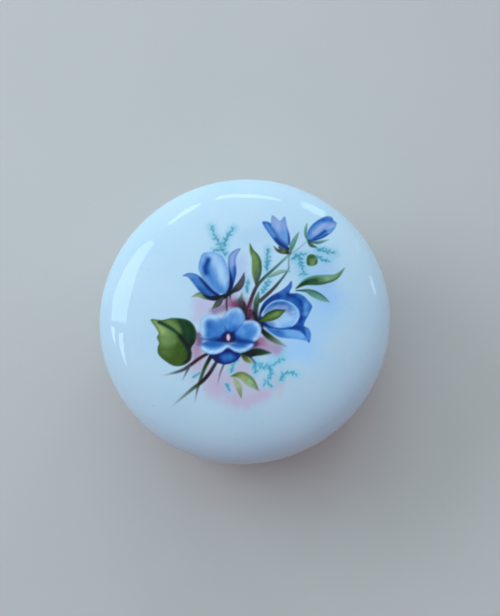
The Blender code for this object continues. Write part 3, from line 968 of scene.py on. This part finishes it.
def centre_flower(c):
    """The flower in the middle, seen from the front: four petals, a lower lip, clefts and a pale heart."""
    heart = (227.8, 337.4)
    upper_shadow, lower_shadow = [(243, 322), (246, 318)], [(254, 344), (246, 353)]
    c.wash(upper_shadow, 1.2, INK, 0.6)
    c.wash(lower_shadow, 1.1, INK, 0.55)
    hanging_petal = [(209.6, 354), (218, 352), (227.7, 346), (236, 350), (240.6, 355), (236, 361),
                     (226, 364.4), (216, 362)]
    c.patch(hanging_petal, DEEP_BLUE, shades=[
        (MID_BLUE, [(223, 357), (230, 356)], 1.2, 0.9),
        (NIGHT_BLUE, [(216, 354.6), (228, 350), (237, 353.6)], 0.85, 0.95),
        (NAVY, [(211, 356), (217, 361.4)], 1.1, 1.0),
    ], rim=(NIGHT_BLUE, 0.5, 0.95), rays=(heart, 40, 0.04))
    upper_left = [(199.8, 326), (201.4, 318.6), (207, 314.6), (214, 314.2), (221.6, 318.6), (227, 328),
                  (228, 336), (215, 339.4), (205, 337.4), (201, 333)]
    c.patch(upper_left, CLEAR_BLUE, shades=[
        (BLUE, [(209, 322), (208, 334)], 1.1, 0.95),
        (MID_BLUE, [(213, 328), (217, 335)], 1.4, 0.8),
        (WHITE_BLUE, [(202, 333), (202, 322), (207, 316.8), (216, 316.6)], 1.05, 1.0),
        (DEEP_BLUE, [(214, 339), (226, 336)], 0.5, 0.9),
    ], rim=(LILAC, 0.3, 0.5), rays=(heart, 30, 0.05), edge=0.6)
    top_petal = [(222, 319), (226, 312), (232, 307.8), (238.4, 307.4), (243, 311.6), (245, 318.4),
                 (241, 325), (231, 334), (226, 330)]
    c.patch(top_petal, SKY_BLUE, shades=[
        (LIGHT_BLUE, [(224.4, 316.6), (229, 311), (236, 309.4), (240, 311)], 0.8, 1.0),
        (CLEAR_BLUE, [(226, 321), (232, 326)], 1.0, 0.8),
        (SOFT_BLUE, [(241, 314), (241.6, 321)], 0.7, 0.8),
        (BLUE, [(228, 331), (235, 328)], 0.8, 0.8),
    ], rim=(DUSK_BLUE, 0.3, 0.5), rays=(heart, 30, 0.05), edge=0.55)
    right_petal = [(243, 322), (249, 320.2), (256.4, 321.4), (260.8, 326.6), (261, 334), (256.4, 340.4),
                   (249, 343), (238, 341.4), (231, 337), (236, 329)]
    c.patch(right_petal, CLEAR_BLUE, shades=[
        (MID_BLUE, [(247, 329), (250, 336)], 1.5, 0.7),
        (LIGHT_BLUE, [(245, 321.6), (254, 322), (259.4, 328), (258, 336), (252, 341)], 0.74, 1.0),
        (SKY_BLUE, [(241, 329), (243, 334)], 0.8, 0.7),
        (DEEP_BLUE, [(234, 336), (242, 340), (251, 341)], 0.6, 0.9),
    ], rim=(LILAC, 0.3, 0.5), rays=(heart, 30, 0.05), edge=0.55)
    lower_lip = [(200, 347.4), (202, 343), (208, 340.8), (220, 341), (228, 343.6), (236, 342.4),
                 (246, 342), (253.8, 343.6), (251, 348.6), (243, 352.6), (235, 351.8), (227.8, 348),
                 (221, 352.8), (212, 354.6), (204.6, 352.4)]
    c.patch(lower_lip, CLEAR_BLUE, shades=[
        (BLUE, [(206, 344), (222, 344.6)], 1.05, 0.95),
        (BLUE, [(233, 345.6), (248, 344)], 0.9, 0.95),
        (WHITE_BLUE, [(202.4, 348.6), (210, 352), (218, 351.4), (227, 347)], 0.75, 1.0),
        (LIGHT_BLUE, [(229, 347.6), (237, 350.6), (244, 350), (251, 346)], 0.62, 1.0),
    ], rim=(DUSK_BLUE, 0.3, 0.5), rays=(heart, 36, 0.05), edge=0.5)
    clefts = (
        ([(201, 338.6), (210, 339.8), (219, 340), (226, 339.4)], (0.6, 0.9, 1.0, 1.4),
         (BLUE, DARK_BLUE, NAVY)),
        ([(230, 339.4), (238, 341), (246, 342), (254.6, 342.4)], (1.4, 1.1, 0.8, 0.4),
         (NAVY, DARK_BLUE, DEEP_BLUE)),
        ([(221.8, 319.4), (225, 327), (227, 334)], (0.2, 0.3, 0.8), (CLEAR_BLUE, DEEP_BLUE)),
        ([(242.6, 323), (235.6, 330.4), (230, 336)], (0.3, 0.8, 1.2), (MID_BLUE, BLUE, NAVY)),
    )
    for path, widths, colours in clefts:
        c.ribbon(path, widths, colours, cover=(0.6, 0.9, 1), edge=0.5)
    dark_eye = [(228, 331.6), (234, 335), (234.4, 340), (228.4, 343), (222.6, 340.4), (222.4, 335)]
    c.patch(dark_eye, NAVY, edge=1.4)
    pale_eye = [(228.2, 333.6), (230.6, 337.2), (228.4, 341.2), (226, 337.4)]
    c.patch(pale_eye, HEATHER, shades=[(BLUSH, [(228.2, 335.6), (228.4, 339)], 0.5, 1.0)], edge=0.5)


def paint_spray(c):
    for figure in (washes, sprigs, stems, leaves, round_leaf, bellflower, buds, open_flower, centre_flower):
        figure(c)


def ink_at(points):
    """The share of red, green and blue that the print lets through at each point, and its cover."""
    radii = np.hypot(points[:, 0], points[:, 1])
    top = (radii < GRID_RADIUS + HAIR) & (points[:, 2] > WIDEST_LEVEL)
    canvas = Canvas(points[top, 0], points[top, 1])
    paint_spray(canvas)
    shade = eased(canvas.x * SHADE_SIDE[0] + canvas.y * SHADE_SIDE[1], *SHADE_SPAN)[:, None]
    china = np.array(seen(*LIT_CHINA)) * (1 - shade) + np.array(seen(*SHADED_CHINA)) * shade
    painted = canvas.colour + china * (1 - canvas.cover[:, None])
    ink = np.ones((len(points), 4))
    ink[:, 3] = 0
    ink[top, :3] = np.maximum(linear(painted) - GLARE, DARKEST) / (linear(china) - GLARE)
    ink[top, 3] = canvas.cover
    return ink


# Materials

class Graph:
    """The nodes of a material or of the world."""

    def __init__(self, owner):
        owner.use_nodes = True
        self.nodes, self.links = owner.node_tree.nodes, owner.node_tree.links

    def fill(self, sockets, values):
        """Links each socket to the output given for it, or gives it that number, vector or colour."""
        for name, value in values.items():
            if isinstance(value, bpy.types.NodeSocket):
                self.links.new(value, sockets[name])
            elif sockets[name].type == "RGBA":
                sockets[name].default_value = (*value, 1.0)
            else:
                sockets[name].default_value = value

    def add(self, kind, values, **settings):
        """The outputs of a new node."""
        node = self.nodes.new("ShaderNode" + kind)
        for name, value in settings.items():
            setattr(node, name, value)
        self.fill(node.inputs, values)
        return node.outputs

    def noise(self, scale, detail):
        place = self.add("TexCoord", {})["Object"]
        return self.add("TexNoise", {"Vector": place, "Scale": scale, "Detail": detail})["Fac"]

    def span(self, value, low, high, new_low=0.0, new_high=1.0):
        return self.add("MapRange", {0: value, 1: low, 2: high, 3: new_low, 4: new_high})["Result"]

    def blend(self, amount, one, other, mode="MIX"):
        """A mix of two colours."""
        return self.add("Mix", {0: amount, 6: one, 7: other}, data_type="RGBA", blend_type=mode)[2]

    def bump(self, height, strength, distance):
        return self.add("Bump", {"Height": height, "Strength": strength, "Distance": distance})["Normal"]


def glaze(name, painted):
    """White china under a clear glaze, bluish where the glaze is thick and matt where it is wiped off."""
    material = bpy.data.materials.new(name)
    graph = Graph(material)
    thick = graph.span(graph.noise(*THICKNESS_NOISE), *CLOUD_LEVELS)
    colour = graph.blend(thick, CHINA, THICK_GLAZE)
    speck = graph.span(graph.noise(*SPECK_NOISE), *SPECK_LEVELS, 0.0, SPECK_COVER)
    colour = graph.blend(speck, colour, SPECK)
    bare = graph.add("Attribute", {}, attribute_name="bare")["Fac"]
    colour = graph.blend(bare, colour, BARE_CHINA)
    roughness = graph.span(graph.noise(*ROUGHNESS_NOISE), *ROUGHNESS_LEVELS, *GLAZE_ROUGHNESS)
    if painted:
        ink = graph.add("Attribute", {}, attribute_name="ink")
        colour = graph.blend(1.0, colour, ink["Color"], "MULTIPLY")
        softer = {0: ink["Alpha"], 1: INK_ROUGHNESS, 2: roughness}
        roughness = graph.add("Math", softer, operation="MULTIPLY_ADD")[0]
    graph.fill(graph.nodes["Principled BSDF"].inputs, {
        "IOR": REFRACTION,
        "Specular IOR Level": MIRRORING,
        "Base Color": colour,
        "Roughness": graph.add("Mix", {0: bare, 2: roughness, 3: BARE_ROUGHNESS})[0],
        "Normal": graph.bump(graph.noise(*WAVE_NOISE), *GLAZE_WAVES),
    })
    return material


def floor_material():
    """A pale plaster floor, with a faint cloudiness and a fine grain."""
    material = bpy.data.materials.new("pale_floor")
    graph = Graph(material)
    cloudy = graph.span(graph.noise(*CLOUD_NOISE), *CLOUD_LEVELS)
    graph.fill(graph.nodes["Principled BSDF"].inputs, {
        "Base Color": graph.blend(cloudy, FLOOR_CLOUDS, FLOOR_COLOUR),
        "Roughness": FLOOR_ROUGHNESS,
        "Normal": graph.bump(graph.noise(*GRAIN_NOISE), *FLOOR_GRAIN),
    })
    return material


# Stage

def floor_piece():
    """A large square floor under the foot ring."""
    half = FLOOR_SIDE / 2
    corners = [(-half, -half, 0), (half, -half, 0), (half, half, 0), (-half, half, 0)]
    return placed("floor", corners, [(0, 1, 2, 3)], floor_material())


def towards(azimuth, elevation):
    """Unit direction, with the azimuth in degrees from +Y towards +X and the elevation above the horizon."""
    a, e = math.radians(azimuth), math.radians(elevation)
    return Vector((math.sin(a) * math.cos(e), math.cos(a) * math.cos(e), math.sin(e)))


def panel(name, corners, brightness):
    """A light panel. The lid mirrors its corners at pixels of the photograph."""
    material = bpy.data.materials.new(name)
    graph = Graph(material)
    graph.nodes.clear()
    glow = graph.add("Emission", {"Color": DAYLIGHT, "Strength": brightness})["Emission"]
    graph.add("OutputMaterial", {"Surface": glow})
    sheet = placed(name, mirrored(corners), [range(len(corners))], material)
    sheet.visible_camera = False
    return sheet


def sky():
    """A soft room light that is brighter towards the windows, and the plain wall behind the floor."""
    world = bpy.data.worlds.new("room")
    bpy.context.scene.world = world
    graph = Graph(world)
    direction = graph.add("TexCoord", {})["Generated"]
    facing = graph.add("VectorMath", {0: direction, 1: towards(*SKY_SIDE)}, operation="DOT_PRODUCT")["Value"]
    share = graph.add("MapRange", {0: facing, 1: SKY_START}, interpolation_type="SMOOTHSTEP")["Result"]
    room = graph.blend(share, SKY_DARK, SKY_BRIGHT)
    straight_on = graph.add("LightPath", {})["Is Camera Ray"]
    graph.fill(graph.nodes["Background"].inputs, {"Color": graph.blend(straight_on, room, BACKDROP)})


def camera():
    lens = bpy.data.cameras.new("camera")
    lens.lens = CAMERA_LENS
    lens.sensor_width = CAMERA_SENSOR
    lens.clip_start = CAMERA_NEAR
    viewer = bpy.data.objects.new("camera", lens)
    right, upright, ahead = camera_axes()
    viewer.matrix_world = Matrix((right, upright, -ahead)).transposed().to_4x4()
    viewer.location = Vector(CAMERA_PLACE) * MM
    bpy.context.scene.collection.objects.link(viewer)
    bpy.context.scene.camera = viewer


def main():
    lid = lid_piece()
    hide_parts("lid")
    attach(lid, "root")
    base = base_piece()
    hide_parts("base")
    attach(base, "root")
    floor_piece()
    for name, corners, brightness in PANELS:
        panel(name, corners, brightness)
    sky()
    camera()
    bpy.context.scene.view_settings.view_transform = "Standard"


main()
